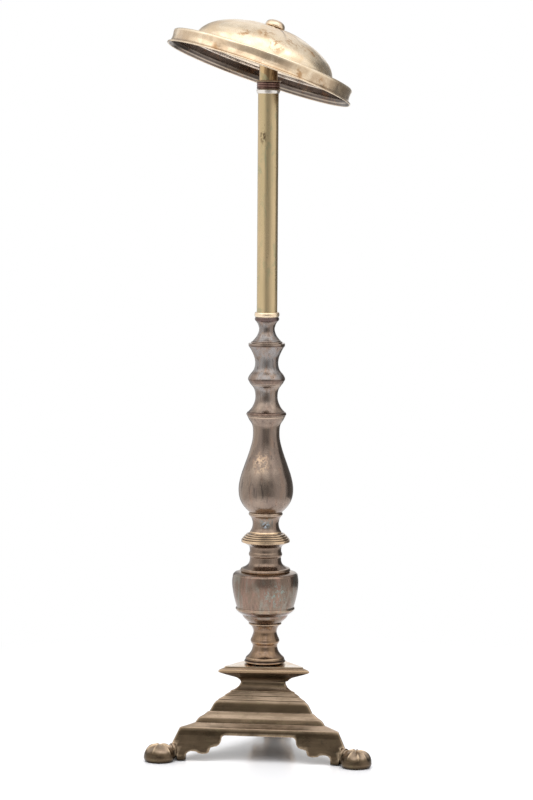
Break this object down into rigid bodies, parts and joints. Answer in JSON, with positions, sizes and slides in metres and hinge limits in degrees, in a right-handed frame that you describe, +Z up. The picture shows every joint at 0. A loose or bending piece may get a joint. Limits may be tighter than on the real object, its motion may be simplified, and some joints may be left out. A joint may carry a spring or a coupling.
{
  "type": "shop display stand",
  "caption": "Brass counter stand with a tilting domed cap on a telescopic post, a turned column and a triangular cast base on bun feet.",
  "frame": {"origin": "middle of the stand's box on the floor plane, under the column to within 14 mm", "axes": "+Z up along the column, the flat front side of the triangular base faces -Y, the cap leans towards +X and a little +Y"},
  "size_m": [0.2112, 0.2116, 0.682],
  "materials": {
    "polished_brass": "polished and softly worn, cloudy reflections, brown stains near edges",
    "tube_brass": "satin drawn tube, dulled lacquer with long soft streaks",
    "dark_brass": "dark brown patina over turned brass, lighter on worn edges, spots of verdigris",
    "base_brass": "olive-brown patinated casting, worn light along its steps",
    "iron": "dull blackened steel"
  },
  "bodies": {
    "stand": {"base_casting": "base_brass", "base_plate": "base_brass", "foot_front_right": "base_brass", "foot_back": "base_brass", "foot_front_left": "base_brass", "foot_screw_front_right": "iron", "foot_screw_back": "iron", "foot_screw_front_left": "iron", "tie_rod": "iron", "tie_washer": "iron", "tie_nut": "iron", "foot_spool": "dark_brass", "vase": "dark_brass", "neck_knop": "dark_brass", "ring_spool": "dark_brass", "baluster": "dark_brass", "middle_spool": "dark_brass", "upper_spool": "dark_brass", "top_spool": "dark_brass", "tube_ferrule": "polished_brass", "tube_plug": "tube_brass", "outer_tube": "tube_brass", "collar_seat": "tube_brass", "collet": "tube_brass"},
    "collar": {"collar_nut": "tube_brass"},
    "guide": {"post_guide": "tube_brass"},
    "post": {"inner_post": "tube_brass", "post_fork": "tube_brass", "pivot_bolt": "iron"},
    "wing": {"wing_nut": "tube_brass"},
    "head": {"head_tongue": "tube_brass", "dome_cap": "polished_brass", "knob_nut": "polished_brass"}
  },
  "joints": [
    {"name": "collar_turn", "type": "hinge", "parent": "stand", "child": "collar", "pos_m": [0, -0.01398, 0.6222], "axis": [0, 0, 1], "range_deg": [0, 180]},
    {"name": "post_slide", "type": "slide", "parent": "stand", "child": "guide", "axis": [0, 0, 1], "range_m": [-0.012, 0.13]},
    {"name": "post_turn", "type": "hinge", "parent": "guide", "child": "post", "pos_m": [0, -0.01398, 0.55], "axis": [0, 0, 1], "continuous": true},
    {"name": "head_tilt", "type": "hinge", "parent": "post", "child": "head", "pos_m": [0, -0.01398, 0.6587], "axis": [-0.3907, 0.9205, 0], "range_deg": [-79.6, 40.4]},
    {"name": "wing_turn", "type": "hinge", "parent": "post", "child": "wing", "pos_m": [0, -0.01398, 0.6587], "axis": [-0.3907, 0.9205, 0], "range_deg": [0, 180]}
  ]
}
